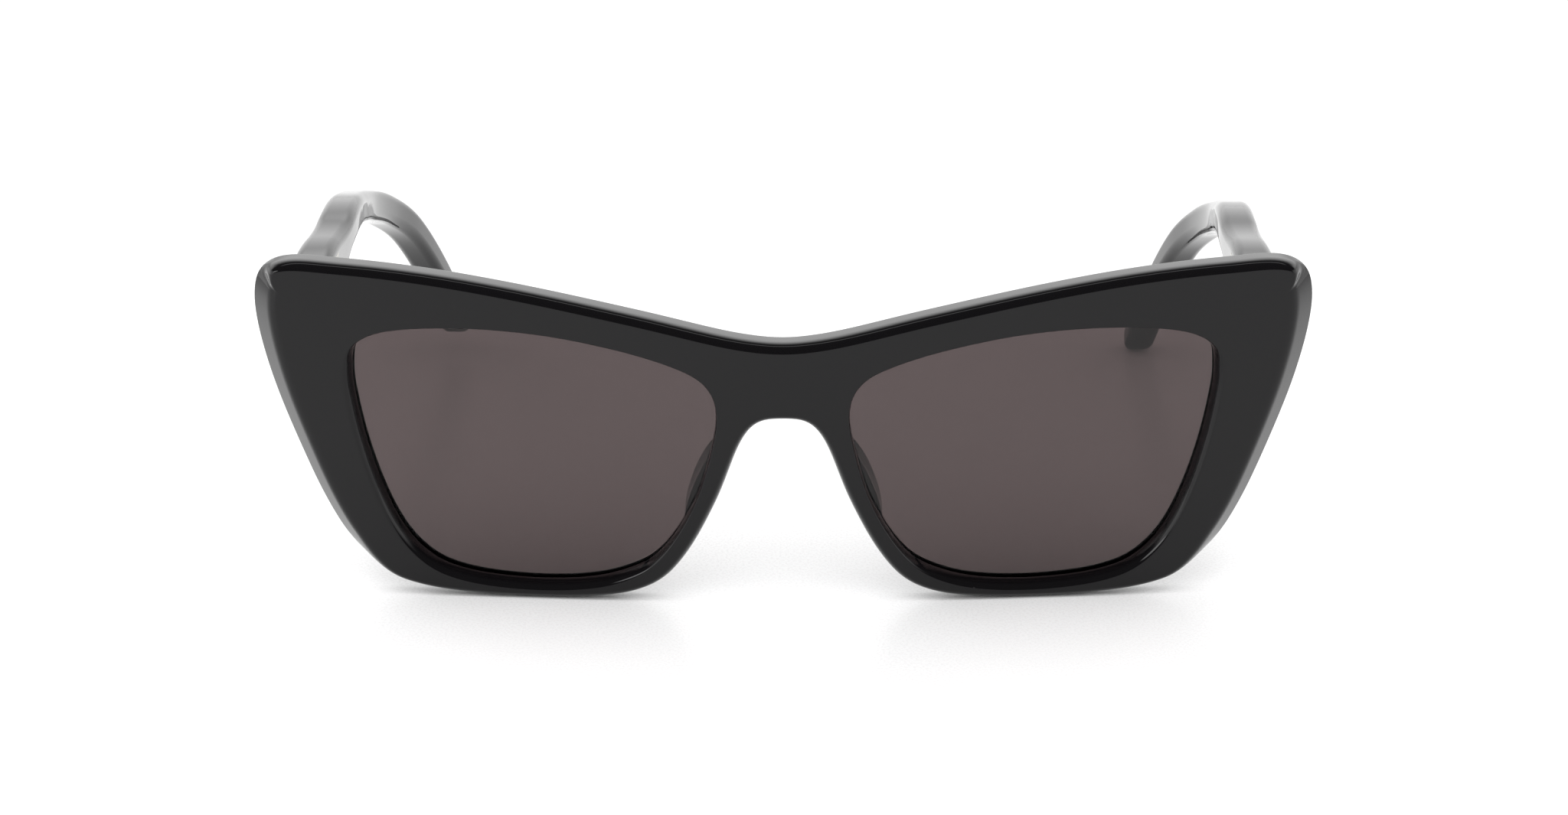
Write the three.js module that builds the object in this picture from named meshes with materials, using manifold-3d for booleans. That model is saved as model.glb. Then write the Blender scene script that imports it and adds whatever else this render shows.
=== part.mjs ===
// Cat eye sunglasses: acetate front and temples, tinted lenses, glued nose pads,
// cored temples and five-knuckle screw hinges. Millimetres, +Z up, the front faces -Y.
import * as THREE from 'three';
import { mergeVertices } from 'three/addons/utils/BufferGeometryUtils.js';
import Module from 'manifold-3d';

const wasm = await Module();
wasm.setup();

// ---------- Driving dimensions (mm and degrees) ----------
const GAP = 0.3; // clearance between touching pieces
const FRONT_T = 4.3; // thickness of the acetate front
const FRONT_TILT = 5.5; // the brow leans forward of the rim bottoms
const FRONT_WRAP = 5.0; // each half of the front turns back from the bridge
const EDGE_ROUND = 1.1; // front edge rounding all round the outline
const END_BEVEL_LOW = 3.4;
const END_BEVEL_RISE = 0.015;
const END_BEVEL_DEPTH = 3.6;
const BACK_BEVEL = 0.4; // small rear edge break
const LENS_T = 1.2; // lens thickness
const LENS_DEPTH = 2.3; // lens front face, behind the front face
const LENS_SEAT = 0.7; // how far the lens edge sits inside its groove
const WINDOW_INSET_MIN = 0.25; // rim wall slope at the brow and nose
const WINDOW_INSET_MAX = 1.1; // rim wall slope at the bottom and temporal side
const TEMPLE_T = 5.4; // temple thickness at the hinge
const TEMPLE_TIP_T = 5.0; // temple thickness at the tip
const TEMPLE_BUTT_H = 10.4; // temple height at the hinge
const TEMPLE_H = 4.9; // temple height along the side
const TEMPLE_EDGE_R = 1.3; // edge rounding of the temple section
const TEMPLE_OUT_X = 67.1; // outer face of the straight temple
const TEMPLE_LEFT_LIFT = 1.45; // the left temple sits this much higher at its hinge
const TEMPLE_SPLAY = { right: 1.7, left: 0.4 }; // each temple opens this far outwards
const WIRE_T = 1.2; // core wire thickness
const WIRE_H = 2.4; // core wire height
const WIRE_OUTSET = 0.5; // core wire sits towards the outer face
const HINGE_X = 59.9; // hinge pin, sideways from the middle
const HINGE_Y = 8.9; // hinge pin, behind the bridge front
const HINGE_Z = 42.0; // middle of the hinge knuckles
const KNUCKLE_R = 1.45;
const KNUCKLE_H = 1.4;
const KNUCKLE_COUNT = 5;
const BORE_R = 0.85;
const SCREW_R = 0.55;
const SCREW_HEAD_R = 1.15;
const SCREW_HEAD_H = 0.8;
const PLATE_T = 1.0; // hinge leaf plate thickness
const PAD_LENGTH_R = 7.4; // nose pad half length
const PAD_WIDTH_R = 1.7; // nose pad half width
const PAD_DEPTH = 5.0; // how far a pad stands behind the front
const PAD_STEPS = 24;
const OUTLINE_STEPS = 88;
const OPENING_STEPS = 64;

// ---------- Small helpers ----------
const rad = THREE.MathUtils.degToRad;

function smoothstep(a, b, x) {
  const t = Math.min(1, Math.max(0, (x - a) / (b - a)));
  return t * t * (3 - 2 * t);
}

function curvePoints(points, closed, count) {
  const path = points.map(([x, y]) => new THREE.Vector3(x, y, 0));
  const curve = new THREE.CatmullRomCurve3(path, closed, 'centripetal');
  const line = curve.getSpacedPoints(count).map((p) => new THREE.Vector2(p.x, p.y));
  if (closed) line.pop();
  return line;
}

// A solid through matching rings of 3-D points. The flat profile gives the caps.
function loft(profile, rings) {
  const last = rings.length - 1;
  const geometry = new THREE.ExtrudeGeometry(new THREE.Shape(profile), {
    depth: last,
    steps: last,
    bevelEnabled: false,
  });
  const key = (x, y) => `${Math.fround(x)},${Math.fround(y)}`;
  const index = new Map(profile.map((p, i) => [key(p.x, p.y), i]));
  const position = geometry.attributes.position;
  for (let i = 0; i < position.count; i += 1) {
    const ring = rings[Math.round(position.getZ(i))];
    const point = ring[index.get(key(position.getX(i), position.getY(i)))];
    position.setXYZ(i, point.x, point.y, point.z);
  }
  return geometry;
}

function signedVolume(vertices, triangles) {
  const corner = [new THREE.Vector3(), new THREE.Vector3(), new THREE.Vector3()];
  let volume = 0;
  for (let i = 0; i < triangles.length; i += 3) {
    corner.forEach((c, k) => c.fromArray(vertices, 3 * triangles[i + k]));
    volume += corner[0].dot(corner[1].cross(corner[2])) / 6;
  }
  return volume;
}

function solid(geometry) {
  const clean = geometry.clone();
  clean.deleteAttribute('normal');
  clean.deleteAttribute('uv');
  const merged = mergeVertices(clean, 1e-5);
  const vertProperties = new Float32Array(merged.attributes.position.array);
  const triVerts = new Uint32Array(merged.index.array);
  if (signedVolume(vertProperties, triVerts) < 0) {
    for (let i = 0; i < triVerts.length; i += 3) {
      [triVerts[i + 1], triVerts[i + 2]] = [triVerts[i + 2], triVerts[i + 1]];
    }
  }
  return new wasm.Manifold(new wasm.Mesh({ numProp: 3, vertProperties, triVerts }));
}

function toGeometry(manifold) {
  const mesh = manifold.getMesh();
  const geometry = new THREE.BufferGeometry();
  const position = new Float32Array(mesh.vertProperties);
  geometry.setAttribute('position', new THREE.BufferAttribute(position, 3));
  geometry.setIndex(new THREE.BufferAttribute(new Uint32Array(mesh.triVerts), 1));
  return geometry;
}

function box(x0, x1, y0, y1, z0, z1) {
  const geometry = new THREE.BoxGeometry(x1 - x0, y1 - y0, z1 - z0);
  geometry.translate((x0 + x1) / 2, (y0 + y1) / 2, (z0 + z1) / 2);
  return geometry;
}

// A turned piece about a vertical axis from an [r, z] outline.
function turned(outline, segments = 20) {
  const points = outline.map(([r, z]) => new THREE.Vector2(r, z));
  const geometry = new THREE.LatheGeometry(points, segments);
  geometry.rotateX(Math.PI / 2);
  return geometry;
}

// The front is drawn flat as (u along the half, v up, d back), then wrapped and tilted.
const frontMatrix = new THREE.Matrix4()
  .makeRotationX(rad(FRONT_TILT))
  .multiply(new THREE.Matrix4().makeRotationZ(rad(FRONT_WRAP)));

function onFront(u, v, d) {
  return new THREE.Vector3(u, d, v).applyMatrix4(frontMatrix);
}

function frontRing(loop, d) {
  return loop.map((p) => onFront(p.x, p.y, d));
}

function frontBox(u0, u1, v0, v1, d0, d1) {
  const geometry = box(u0, u1, d0, d1, v0, v1);
  geometry.applyMatrix4(frontMatrix);
  return solid(geometry);
}

function mirrored(manifold) {
  const geometry = toGeometry(manifold);
  geometry.scale(-1, 1, 1);
  return solid(geometry);
}

function loopNormals(loop, closed) {
  const count = loop.length;
  const side = Math.sign(THREE.ShapeUtils.area(loop));
  return loop.map((p, i) => {
    const openEnd = !closed && (i === 0 || i === count - 1);
    const before = loop[(i + count - 1) % count];
    const after = loop[(i + 1) % count];
    const tangent = new THREE.Vector2().subVectors(after, before);
    if (openEnd) tangent.set(i === 0 ? 1 : -1, 0);
    tangent.normalize();
    return new THREE.Vector2(side * tangent.y, -side * tangent.x);
  });
}

// Moves each point of a loop inwards by an amount that depends on its outward normal.
function insetLoop(loop, amount, closed) {
  const normals = loopNormals(loop, closed);
  return loop.map((p, i) => p.clone().addScaledVector(normals[i], -amount(normals[i], p)));
}

// ---------- Outlines of one half, drawn flat ----------
const HALF_OUTLINE = [
  [0, 27.6], [3.2, 27.3], [5.4, 24.9], [9.3, 15.1], [13.4, 7.2], [16.8, 3.2], [21, 1.2],
  [27, 0.25], [35, 0], [43, 0.2], [50.3, 1.1], [55.7, 3.05], [60.1, 6.6], [63.3, 11.9],
  [67.1, 21.2], [70.3, 30.8], [71.95, 38.4], [72.2, 43], [71.25, 46.5], [68.3, 48.2],
  [60, 48.05], [48.6, 47], [36.3, 45.1], [19.7, 41.8], [7.3, 39.1], [3, 38.55], [0, 38.45],
];
const OPENING = [
  [8.9, 28.4], [9.5, 31.2], [11.2, 33.3], [13.9, 34.7], [18.9, 36.4], [24.9, 37.85],
  [31.5, 39], [38.6, 39.65], [45.4, 39.75], [51.9, 39.3], [55.7, 38.5], [58.6, 36.7],
  [59.9, 33.6], [59.3, 26.9], [57.4, 18.6], [54.6, 11.1], [52.1, 7.1], [48.6, 4],
  [44.3, 2.4], [38.1, 1.55], [33, 1.4], [28, 1.7], [23.4, 2.6], [19.2, 4.6],
  [15.8, 8.3], [12.1, 15], [10.4, 20.1], [9.2, 25.4],
];
const WINDOW_SLOPE_DIRECTION = new THREE.Vector2(0.6, -0.8);

const outline = curvePoints(HALF_OUTLINE, false, OUTLINE_STEPS);
const opening = curvePoints(OPENING, true, OPENING_STEPS);
const windowInset = (normal) => WINDOW_INSET_MIN
  + (WINDOW_INSET_MAX - WINDOW_INSET_MIN)
  * smoothstep(-0.2, 0.6, normal.dot(WINDOW_SLOPE_DIRECTION));
const windowLoop = insetLoop(opening, windowInset, true);
const grow = (size) => insetLoop(windowLoop, () => -size, true);

// Front edge profile: a rounding that widens to a steep bevel along the temporal side.
const temporal = (normal) => smoothstep(0.3, 0.85, normal.x);
const bevelWidth = (normal, p) => THREE.MathUtils.lerp(
  EDGE_ROUND,
  END_BEVEL_LOW + END_BEVEL_RISE * p.y,
  temporal(normal),
);
const bevelDepth = (normal) => THREE.MathUtils.lerp(EDGE_ROUND, END_BEVEL_DEPTH, temporal(normal));
const BEVEL_STEPS = [0, 0.3, 0.62, 1]; // share of the way round the front edge

// ---------- Front ----------
function bevelRing(share) {
  const angle = share * (Math.PI / 2);
  const depths = loopNormals(outline, false).map((normal) => bevelDepth(normal));
  const loop = insetLoop(outline, (n, p) => bevelWidth(n, p) * (1 - Math.sin(angle)), false);
  return loop.map((p, i) => onFront(p.x, p.y, depths[i] * (1 - Math.cos(angle))));
}

function halfBlank() {
  const back = insetLoop(outline, () => BACK_BEVEL, false);
  return solid(loft(outline, [
    ...BEVEL_STEPS.map(bevelRing),
    frontRing(outline, FRONT_T - BACK_BEVEL),
    frontRing(back, FRONT_T),
  ]));
}

// The rim wall slopes from the front opening to the lens window, behind a rounded lip.
function openingCutter() {
  const ease = (t) => opening.map((p, i) => p.clone().lerp(windowLoop[i], t));
  return solid(loft(opening, [
    frontRing(insetLoop(opening, () => -0.5, true), -0.5),
    frontRing(insetLoop(opening, () => -0.12, true), 0.12),
    frontRing(ease(0.12), 0.5),
    frontRing(ease(1), LENS_DEPTH - GAP),
    frontRing(ease(1), FRONT_T + 1),
  ]));
}

function slab(loop, d0, d1) {
  return solid(loft(loop, [frontRing(loop, d0), frontRing(loop, d1)]));
}

const grooveCutter = () => slab(
  grow(LENS_SEAT + GAP),
  LENS_DEPTH - GAP,
  LENS_DEPTH + LENS_T + GAP,
);

// ---------- Hinges ----------
const knuckleSpan = KNUCKLE_COUNT * KNUCKLE_H + (KNUCKLE_COUNT - 1) * GAP;
const knuckleBottom = (i) => HINGE_Z - knuckleSpan / 2 + i * (KNUCKLE_H + GAP);
const FRONT_PLATE = { u0: 60.1, u1: 66.4, v0: 37.2, v1: 46.0 };
const TEMPLE_PLATE = { y0: 9.4, y1: 19.5, z0: 38.6, z1: 45.4 };
const WEB_START_Y = 4.2; // the knuckle webs start inside the front plate
const innerX = TEMPLE_OUT_X - TEMPLE_T;

function knuckle(i) {
  const z = knuckleBottom(i);
  const ring = turned([
    [BORE_R, z], [KNUCKLE_R, z], [KNUCKLE_R, z + KNUCKLE_H], [BORE_R, z + KNUCKLE_H], [BORE_R, z],
  ]);
  ring.translate(HINGE_X, HINGE_Y, 0);
  return solid(ring);
}

function boreCutter() {
  const pin = turned([[0, 0], [BORE_R, 0], [BORE_R, 80], [0, 80]]);
  pin.translate(HINGE_X, HINGE_Y, 0);
  return solid(pin);
}

function frontLeaf() {
  const { u0, u1, v0, v1 } = FRONT_PLATE;
  let leaf = frontBox(u0, u1, v0, v1, FRONT_T - PLATE_T, FRONT_T);
  for (let i = 0; i < KNUCKLE_COUNT; i += 2) {
    const z = knuckleBottom(i);
    const web = box(HINGE_X - 0.55, HINGE_X + KNUCKLE_R, WEB_START_Y, HINGE_Y, z, z + KNUCKLE_H);
    const inFront = frontBox(u0 - 4, u1, 30, 60, FRONT_T - 4, FRONT_T - 0.5 * PLATE_T);
    leaf = leaf.add(solid(web).subtract(inFront)).add(knuckle(i));
  }
  return leaf.subtract(boreCutter());
}

function templeLeaf() {
  const { y0, y1, z0, z1 } = TEMPLE_PLATE;
  let leaf = solid(box(innerX, innerX + PLATE_T, y0, y1, z0, z1));
  for (let i = 1; i < KNUCKLE_COUNT; i += 2) {
    const z = knuckleBottom(i);
    const web = box(HINGE_X, innerX + 0.5, HINGE_Y - 0.2, HINGE_Y + KNUCKLE_R, z, z + KNUCKLE_H);
    leaf = leaf.add(solid(web)).add(knuckle(i));
  }
  const tail = solid(box(innerX + 0.4, innerX + PLATE_T, y0, HINGE_Y + 0.9, z0 + 1, z1 - 1));
  return leaf.add(tail).subtract(boreCutter());
}

function hingeScrew() {
  const bottom = knuckleBottom(0) + 0.1;
  const seat = knuckleBottom(KNUCKLE_COUNT - 1) + KNUCKLE_H + GAP;
  const body = turned([
    [0, bottom], [SCREW_R - 0.15, bottom], [SCREW_R, bottom + 0.3], [SCREW_R, seat],
    [SCREW_HEAD_R, seat], [SCREW_HEAD_R, seat + 0.6 * SCREW_HEAD_H],
    [SCREW_HEAD_R - 0.3, seat + SCREW_HEAD_H], [0, seat + SCREW_HEAD_H],
  ]);
  const top = seat + SCREW_HEAD_H;
  const slot = box(-2, 2, -0.16, 0.16, top - 0.35, top + 1);
  slot.rotateZ(rad(35));
  const screw = solid(body).subtract(solid(slot));
  return screw.translate([HINGE_X, HINGE_Y, 0]);
}

// ---------- Temples ----------
// Middle line of the right temple: [x of the section middle, y, z].
const TEMPLE_LINE = [
  [64.4, 2, 41.9], [64.4, 12, 41.95], [64.4, 24, 42.4], [64.4, 42, 42.7], [64.8, 54, 41.4],
  [65.3, 66, 38.9], [65.4, 80, 35.4], [64.0, 95, 30.7], [61.4, 107.5, 24.2], [58.3, 119, 13.6],
  [55.2, 128.2, 1.1],
].map(([x, y, z]) => new THREE.Vector3(x, y, z));
const TEMPLE_RINGS = 30;
const TIP_ROUND = 4; // rings that close the rounded tip
const WIRE_RINGS = 20;
const templeCurve = new THREE.CatmullRomCurve3(TEMPLE_LINE, false, 'centripetal');
const templeLength = templeCurve.getLength();

function templeHeight(s) {
  return TEMPLE_BUTT_H + (TEMPLE_H - TEMPLE_BUTT_H) * smoothstep(10, 36, s);
}

function templeThickness(s) {
  return TEMPLE_T + (TEMPLE_TIP_T - TEMPLE_T) * smoothstep(50, templeLength, s);
}

function sectionLoop(thickness, height, radius, cornerSteps = 2) {
  const loop = [];
  const corner = Math.min(radius, 0.49 * thickness, 0.49 * height);
  [[1, 1], [-1, 1], [-1, -1], [1, -1]].forEach(([a, b], quarter) => {
    for (let k = 0; k <= cornerSteps; k += 1) {
      const angle = (quarter + k / cornerSteps) * (Math.PI / 2);
      loop.push(new THREE.Vector2(
        a * (thickness / 2 - corner) + corner * Math.cos(angle),
        b * (height / 2 - corner) + corner * Math.sin(angle),
      ));
    }
  });
  return loop;
}

// Section points stand square to the middle line in side view, and keep x sideways.
function sectionRing(s, loop, shift = 0) {
  const t = Math.min(1, s / templeLength);
  const middle = templeCurve.getPointAt(t);
  const along = templeCurve.getTangentAt(t);
  const up = new THREE.Vector3(0, -along.z, along.y).normalize();
  return loop.map((p) => middle.clone()
    .addScaledVector(up, p.y)
    .add(new THREE.Vector3(p.x + shift, 0, 0)));
}

function templeBlank() {
  const rings = [];
  const roundStart = templeLength - TEMPLE_H / 2;
  for (let i = 0; i <= TEMPLE_RINGS; i += 1) {
    const s = (i / TEMPLE_RINGS) * roundStart;
    rings.push(sectionRing(s, sectionLoop(templeThickness(s), templeHeight(s), TEMPLE_EDGE_R)));
  }
  for (let k = 1; k <= TIP_ROUND; k += 1) {
    const angle = (k / (TIP_ROUND + 0.35)) * (Math.PI / 2);
    const s = roundStart + (TEMPLE_H / 2) * Math.sin(angle);
    const height = TEMPLE_H * Math.cos(angle);
    const thickness = TEMPLE_TIP_T * (0.45 + 0.55 * Math.cos(angle));
    rings.push(sectionRing(s, sectionLoop(thickness, height, TEMPLE_EDGE_R * Math.cos(angle))));
  }
  return solid(loft(sectionLoop(TEMPLE_T, TEMPLE_H, TEMPLE_EDGE_R), rings));
}

function wireLoft(thickness, height, start, end) {
  const loop = sectionLoop(thickness, height, 0.3, 1);
  const rings = [];
  for (let i = 0; i <= WIRE_RINGS; i += 1) {
    const s = start + (end - start) * (i / WIRE_RINGS);
    rings.push(sectionRing(s, loop, WIRE_OUTSET * (1 - s / templeLength)));
  }
  return solid(loft(loop, rings));
}

const buttCutter = (gap) => frontBox(30, 90, 0, 80, -40, FRONT_T + gap);
const WIRE_END = 0.88 * templeLength;

function templeBody() {
  const { y0, y1, z0, z1 } = TEMPLE_PLATE;
  const recess = box(innerX - 2, innerX + PLATE_T + GAP, y0 - 6, y1 + GAP, z0 - GAP, z1 + GAP);
  return templeBlank()
    .subtract(wireLoft(WIRE_T + 2 * GAP, WIRE_H + 2 * GAP, 0, WIRE_END + GAP))
    .subtract(solid(recess));
}

const coreWire = () => wireLoft(WIRE_T, WIRE_H, 0.5, WIRE_END).subtract(buttCutter(2 * GAP));

// ---------- Nose pads ----------
function nosePad() {
  const middle = new THREE.Vector2(10.75, 16.6);
  const along = new THREE.Vector2(-0.39, 0.92);
  const across = new THREE.Vector2(0.92, 0.39);
  const levels = [[0, 1, 0], [0.25, 1, 0.1], [0.5, 0.97, 0.35], [0.75, 0.86, 0.75], [0.93, 0.66, 1.1],
    [1, 0.42, 1.25]];
  const loopAt = (scale, shift) => {
    const loop = [];
    for (let i = 0; i < PAD_STEPS; i += 1) {
      const angle = (i / PAD_STEPS) * 2 * Math.PI;
      loop.push(middle.clone()
        .addScaledVector(along, PAD_LENGTH_R * scale * Math.cos(angle))
        .addScaledVector(across, PAD_WIDTH_R * scale * Math.sin(angle) + shift));
    }
    return loop;
  };
  return solid(loft(loopAt(1, 0), levels.map(([t, scale, shift]) => (
    frontRing(loopAt(scale, shift), FRONT_T + GAP + t * PAD_DEPTH)))));
}

// ---------- Assembly ----------
function halfFront() {
  const { u0, u1, v0, v1 } = FRONT_PLATE;
  const pocket = frontBox(u0 - GAP, u1 + GAP, v0 - GAP, v1 + GAP, FRONT_T - PLATE_T - GAP, 9);
  return halfBlank().subtract(openingCutter()).subtract(grooveCutter()).subtract(pocket);
}

const acetate = { color: 0x0b0a0b, roughness: 0.12, metalness: 0.0 };
const lensTint = { color: 0x4a3f3c, roughness: 0.08, metalness: 0.0 };
const steel = { color: 0x9b9a98, roughness: 0.35, metalness: 1.0 };

const group = new THREE.Group();
group.name = 'cat_eye_sunglasses';

function addNode(name, manifold, look) {
  const mesh = new THREE.Mesh(toGeometry(manifold), new THREE.MeshStandardMaterial(look));
  mesh.name = name;
  group.add(mesh);
}

// Temples are drawn square to the front, then turned about their hinges as they rest.
function splay(piece, angle) {
  return piece.translate([-HINGE_X, -HINGE_Y, 0])
    .rotate([0, 0, -angle])
    .translate([HINGE_X, HINGE_Y, 0]);
}

function lift(piece) {
  return piece.translate([0, -HINGE_Y, -HINGE_Z])
    .rotate([TEMPLE_LEFT_LIFT, 0, 0])
    .translate([0, HINGE_Y, HINGE_Z]);
}

const onRight = (piece) => splay(piece, TEMPLE_SPLAY.right);
const onLeft = (piece) => lift(mirrored(splay(piece, TEMPLE_SPLAY.left)));

const half = halfFront();
addNode('front_frame', half.add(mirrored(half)), acetate);

const fixedPieces = [
  ['lens', slab(grow(LENS_SEAT), LENS_DEPTH, LENS_DEPTH + LENS_T), lensTint],
  ['nose_pad', nosePad(), acetate],
  ['hinge_front_leaf', frontLeaf(), steel],
  ['hinge_screw', hingeScrew(), steel],
];
fixedPieces.forEach(([name, piece, look]) => {
  addNode(`${name}_right`, piece, look);
  addNode(`${name}_left`, mirrored(piece), look);
});

addNode('temple_right', onRight(templeBody()).subtract(buttCutter(GAP)), acetate);
addNode('temple_left', onLeft(templeBody()).subtract(mirrored(buttCutter(GAP))), acetate);
addNode('core_wire_right', onRight(coreWire()), steel);
addNode('core_wire_left', onLeft(coreWire()), steel);
addNode('hinge_temple_leaf_right', onRight(templeLeaf()), steel);
addNode('hinge_temple_leaf_left', onLeft(templeLeaf()), steel);

// The finished object stands on z = 0 with the middle of its footprint at the origin.
const bounds = new THREE.Box3().setFromObject(group);
const centre = bounds.getCenter(new THREE.Vector3());
group.children.forEach((mesh) => mesh.geometry.translate(-centre.x, -centre.y, -bounds.min.z));

export default group;
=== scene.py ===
# %% [markdown]
# # Cat eye sunglasses
#
# A thick polished acetate front holds two tinted lenses in grooves. Two nose pads are
# glued behind it, and two acetate temples fold on five-knuckle screw hinges. Each piece
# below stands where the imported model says, and rides on the body that moves it.

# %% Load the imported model
import math

import bmesh
import bpy
import numpy as np
from mathutils import Matrix, Vector


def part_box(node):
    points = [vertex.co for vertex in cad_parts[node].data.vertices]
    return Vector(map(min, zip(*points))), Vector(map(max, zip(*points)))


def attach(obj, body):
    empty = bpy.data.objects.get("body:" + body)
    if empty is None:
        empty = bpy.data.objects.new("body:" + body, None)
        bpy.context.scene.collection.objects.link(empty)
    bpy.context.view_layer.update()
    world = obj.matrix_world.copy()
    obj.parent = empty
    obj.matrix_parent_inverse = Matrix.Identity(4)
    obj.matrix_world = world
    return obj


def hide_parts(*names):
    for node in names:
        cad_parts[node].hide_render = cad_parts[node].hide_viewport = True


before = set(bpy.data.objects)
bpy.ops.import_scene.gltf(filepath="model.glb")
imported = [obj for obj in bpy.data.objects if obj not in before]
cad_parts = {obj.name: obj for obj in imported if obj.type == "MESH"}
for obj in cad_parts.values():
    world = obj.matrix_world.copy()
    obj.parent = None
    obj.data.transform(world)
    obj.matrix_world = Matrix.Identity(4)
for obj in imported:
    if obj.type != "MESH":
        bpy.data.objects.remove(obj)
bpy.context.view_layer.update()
MM = 0.001

# %% [markdown]
# ## The shared origin
#
# The front is drawn flat, in millimetres, and then set in place. The hinge pin is the
# one point that both drawings share, so the drawing's origin is worked out from the
# screw's box instead of being typed in.

# %% Where the flat drawing sits
PIN = Vector((59.9, 8.9, 42.0))
SCREW_FOOT = 38.0
screw_low, screw_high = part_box("hinge_screw_right")
pin_y = (screw_low.y + screw_high.y) / 2
ORIGIN = Vector((0, pin_y - PIN.y * MM, screw_low.z - SCREW_FOOT * MM))
print("drawing origin in mm", [round(x / MM, 2) for x in ORIGIN])

# %% [markdown]
# ## Camera
#
# A long lens stands half a metre away and looks down on the glasses by about seventeen
# degrees, so the top of the brow and the folded-down ends of the temples both show. The
# camera's axes are built from those few angles, which keeps every number readable.

# %% Camera
VIEW_DISTANCE = 0.5133
VIEW_ELEVATION = math.radians(16.89)
VIEW_AZIMUTH = math.radians(0.468)
VIEW_ROLL = math.radians(-0.197)
AIM_HEIGHT = 28.5 * MM
FOCAL_LENGTH = 87.27
aim = Vector((0.16 * MM, ORIGIN.y, AIM_HEIGHT))
forward = Vector((
    -math.sin(VIEW_AZIMUTH) * math.cos(VIEW_ELEVATION),
    math.cos(VIEW_AZIMUTH) * math.cos(VIEW_ELEVATION),
    -math.sin(VIEW_ELEVATION),
))
level_right = Vector((math.cos(VIEW_AZIMUTH), math.sin(VIEW_AZIMUTH), 0))
level_up = level_right.cross(forward)
right = level_right * math.cos(VIEW_ROLL) + level_up * math.sin(VIEW_ROLL)
up = level_up * math.cos(VIEW_ROLL) - level_right * math.sin(VIEW_ROLL)
camera_data = bpy.data.cameras.new("camera")
camera_data.sensor_fit = "HORIZONTAL"
camera_data.sensor_width = 36.0
camera_data.lens = FOCAL_LENGTH
camera_data.clip_start = 0.01
camera_data.clip_end = 20.0
camera = bpy.data.objects.new("camera", camera_data)
axes = Matrix((right, up, -forward)).transposed().to_4x4()
camera.matrix_world = Matrix.Translation(aim - VIEW_DISTANCE * forward) @ axes
scene = bpy.context.scene
scene.collection.objects.link(camera)
scene.camera = camera
scene.view_settings.view_transform = "Standard"
scene.view_settings.look = "None"
print("camera at mm", [round(x / MM) for x in camera.location])

# %% [markdown]
# ## Studio light
#
# Black acetate shows almost nothing but what it mirrors, so the light is planned as what
# surrounds the glasses: a broad bright sweep low behind them, a softer bank on each
# side, one small window in front on the left, and darkness elsewhere. It is painted on the world by
# direction, which gives clean reflections. The viewer sees a plain pale backdrop.

# %% A few shader helpers
def link(tree, source, target):
    tree.links.new(source, target)


def math_node(tree, operation, a, b):
    node = tree.nodes.new("ShaderNodeMath")
    node.operation = operation
    for socket, value in zip(node.inputs, (a, b)):
        if isinstance(value, bpy.types.NodeSocket):
            link(tree, value, socket)
        else:
            socket.default_value = value
    return node.outputs[0]


def ramp(tree, value, low, high, to_low=0.0, to_high=1.0):
    """A smooth step between two values."""
    node = tree.nodes.new("ShaderNodeMapRange")
    node.interpolation_type = "SMOOTHSTEP"
    link(tree, value, node.inputs["Value"])
    for name, number in (("From Min", low), ("From Max", high), ("To Min", to_low), ("To Max", to_high)):
        node.inputs[name].default_value = number
    return node.outputs["Result"]


# %% World light by direction
MIRRORED_DARK = 0.10
BACK_SWEEP = 2.5
HORIZON_SHARE = 0.42
LEFT_BANK = 2.0
RIGHT_BANK = 1.6
HEAD_STRIP = 1.6
WINDOW = 4.0
SWEEP_TOP = (37, 58)
SWEEP_RISE = (12, 27)
BANK_TOP = (16, 32)
STRIP_FOOT = (62, 64)
STRIP_TOP = (66, 68)
WINDOW_EDGE = (13, 8)
WINDOW_TOWARD = (-0.65, -0.68, 0.34)
SOFT_FILL = 1.0
BACKDROP = 1.0
world = bpy.data.worlds.new("studio")
scene.world = world
world.use_nodes = True
sky = world.node_tree
sky.nodes.clear()
direction = sky.nodes.new("ShaderNodeTexCoord").outputs["Generated"]
split = sky.nodes.new("ShaderNodeSeparateXYZ")
link(sky, direction, split.inputs[0])
toward_x, toward_y, toward_z = split.outputs


def height_band(low, high, to_low=0.0, to_high=1.0):
    """A soft edge between two heights above the horizon, given in degrees."""
    return ramp(sky, toward_z, math.sin(math.radians(low)), math.sin(math.radians(high)), to_low, to_high)


low_band = height_band(*SWEEP_TOP, 1.0, 0.0)
side_band = height_band(*BANK_TOP, 1.0, 0.0)
behind = ramp(sky, toward_y, 0.05, 0.35)
left_side = ramp(sky, toward_x, -0.5, -0.85)
right_side = ramp(sky, toward_x, 0.6, 0.9)
strip = math_node(sky, "MULTIPLY", height_band(*STRIP_FOOT), height_band(*STRIP_TOP, 1.0, 0.0))
strip = math_node(sky, "MULTIPLY", strip, behind)
rising = height_band(*SWEEP_RISE, HORIZON_SHARE, 1.0)
banks = math_node(sky, "MULTIPLY", math_node(sky, "MULTIPLY", behind, rising), BACK_SWEEP)
banks = math_node(sky, "MULTIPLY", banks, low_band)
for side, level in ((left_side, LEFT_BANK), (right_side, RIGHT_BANK)):
    bank = math_node(sky, "MULTIPLY", math_node(sky, "MULTIPLY", side, level), side_band)
    banks = math_node(sky, "MAXIMUM", banks, bank)
facing = sky.nodes.new("ShaderNodeVectorMath")
facing.operation = "DOT_PRODUCT"
link(sky, direction, facing.inputs[0])
facing.inputs[1].default_value = WINDOW_TOWARD
pane_edge = [math.cos(math.radians(degrees)) for degrees in WINDOW_EDGE]
pane = ramp(sky, facing.outputs["Value"], *pane_edge)
mirrored_light = math_node(sky, "ADD", banks, MIRRORED_DARK)
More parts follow.
